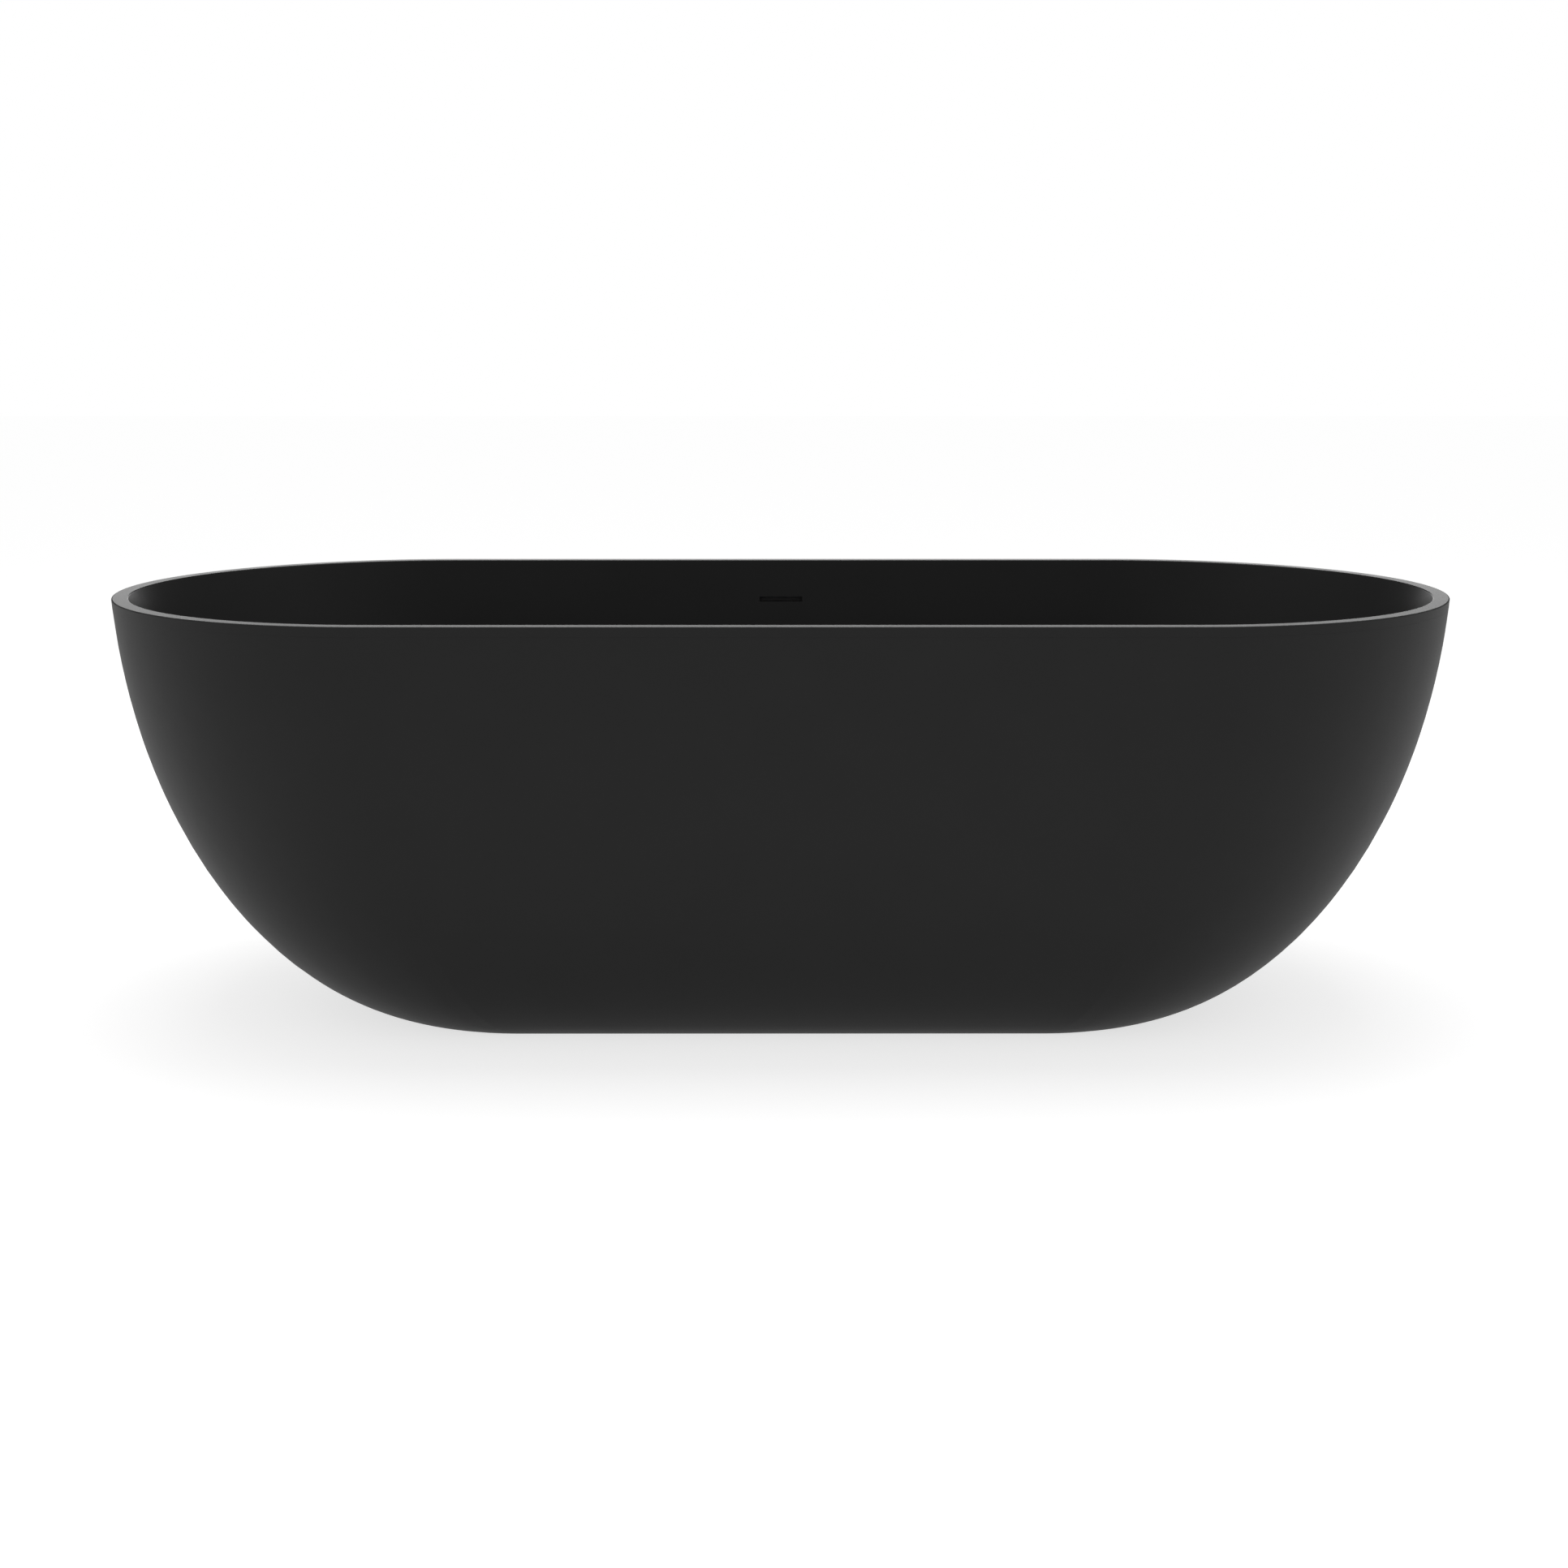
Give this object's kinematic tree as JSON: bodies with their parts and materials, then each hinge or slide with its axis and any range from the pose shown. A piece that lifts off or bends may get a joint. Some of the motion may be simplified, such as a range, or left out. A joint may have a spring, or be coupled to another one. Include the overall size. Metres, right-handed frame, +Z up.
{
  "type": "freestanding bathtub",
  "caption": "Freestanding oval bathtub in matt black cast stone: slim flat rim, double-skinned wall curving in to a narrow base, slot overflow and push-to-open waste.",
  "frame": {"origin": "on the floor under the middle of the bath", "axes": "+X along the bath, +Y towards the side with the overflow slot, +Z up"},
  "size_m": [1.6998, 0.7498, 0.54],
  "materials": {
    "shell": "matt black cast stone resin",
    "basin": "matt black cast stone resin",
    "gasket_rubber": "plain soft rubber",
    "sole_rubber": "plain rubber",
    "hood_plastic": "moulded",
    "hose_plastic": "extruded",
    "banjo_plastic": "moulded",
    "nut_plastic": "moulded",
    "screw_steel": "plain",
    "clip_steel": "plain",
    "spring_steel": "drawn wire",
    "waste_black": "matt black coated brass",
    "cap_black": "matt black coated brass",
    "cartridge_brass": "turned",
    "stem_steel": "turned",
    "insert_brass": "turned",
    "nut_steel": "zinc plated",
    "stud_steel": "zinc plated",
    "pad_plastic": "moulded"
  },
  "bodies": {
    "bath": {"outer_shell": "shell", "inner_basin": "basin", "overflow_gasket": "gasket_rubber", "overflow_hood": "hood_plastic", "overflow_screws": "screw_steel", "overflow_hose": "hose_plastic", "hose_clips": "clip_steel", "waste_flange": "waste_black", "flange_seal": "gasket_rubber", "banjo_upper_seal": "gasket_rubber", "banjo_lower_seal": "gasket_rubber", "overflow_banjo": "banjo_plastic", "back_nut": "nut_plastic", "plug_cartridge": "cartridge_brass", "plug_spring": "spring_steel", "foot_inserts": "insert_brass", "foot_lock_nuts": "nut_steel"},
    "plug": {"plug_cap": "cap_black", "plug_seal": "gasket_rubber", "plug_stem": "stem_steel"},
    "pad_front_left": {"foot_pad_front_left": "pad_plastic", "foot_sole_front_left": "sole_rubber"},
    "stud_front_left": {"foot_stud_front_left": "stud_steel"},
    "pad_front_right": {"foot_pad_front_right": "pad_plastic", "foot_sole_front_right": "sole_rubber"},
    "stud_front_right": {"foot_stud_front_right": "stud_steel"},
    "pad_back_left": {"foot_pad_back_left": "pad_plastic", "foot_sole_back_left": "sole_rubber"},
    "stud_back_left": {"foot_stud_back_left": "stud_steel"},
    "pad_back_right": {"foot_pad_back_right": "pad_plastic", "foot_sole_back_right": "sole_rubber"},
    "stud_back_right": {"foot_stud_back_right": "stud_steel"}
  },
  "joints": [
    {"name": "plug_travel", "type": "slide", "parent": "bath", "child": "plug", "axis": [0, 0, 1], "range_m": [0, 0.009], "deforming": ["plug_spring"]},
    {"name": "foot_height_front_left", "type": "slide", "parent": "bath", "child": "pad_front_left", "axis": [0, 0, 1], "range_m": [-0.008, 0.0019]},
    {"name": "stud_turn_front_left", "type": "hinge", "parent": "pad_front_left", "child": "stud_front_left", "pos_m": [-0.33311, -0.09751, 0], "axis": [0, 0, 1], "range_deg": [-1646, 391]},
    {"name": "foot_height_front_right", "type": "slide", "parent": "bath", "child": "pad_front_right", "axis": [0, 0, 1], "range_m": [-0.008, 0.0019]},
    {"name": "stud_turn_front_right", "type": "hinge", "parent": "pad_front_right", "child": "stud_front_right", "pos_m": [0.33311, -0.09751, 0], "axis": [0, 0, 1], "range_deg": [-1646, 391]},
    {"name": "foot_height_back_left", "type": "slide", "parent": "bath", "child": "pad_back_left", "axis": [0, 0, 1], "range_m": [-0.008, 0.0019]},
    {"name": "stud_turn_back_left", "type": "hinge", "parent": "pad_back_left", "child": "stud_back_left", "pos_m": [-0.33311, 0.09751, 0], "axis": [0, 0, 1], "range_deg": [-1646, 391]},
    {"name": "foot_height_back_right", "type": "slide", "parent": "bath", "child": "pad_back_right", "axis": [0, 0, 1], "range_m": [-0.008, 0.0019]},
    {"name": "stud_turn_back_right", "type": "hinge", "parent": "pad_back_right", "child": "stud_back_right", "pos_m": [0.33311, 0.09751, 0], "axis": [0, 0, 1], "range_deg": [-1646, 391]}
  ],
  "couplings": [
    {"joint": "stud_turn_front_left", "follows": "foot_height_front_left", "rad_per_m": 3590.4},
    {"joint": "stud_turn_front_right", "follows": "foot_height_front_right", "rad_per_m": 3590.4},
    {"joint": "stud_turn_back_left", "follows": "foot_height_back_left", "rad_per_m": 3590.4},
    {"joint": "stud_turn_back_right", "follows": "foot_height_back_right", "rad_per_m": 3590.4}
  ]
}
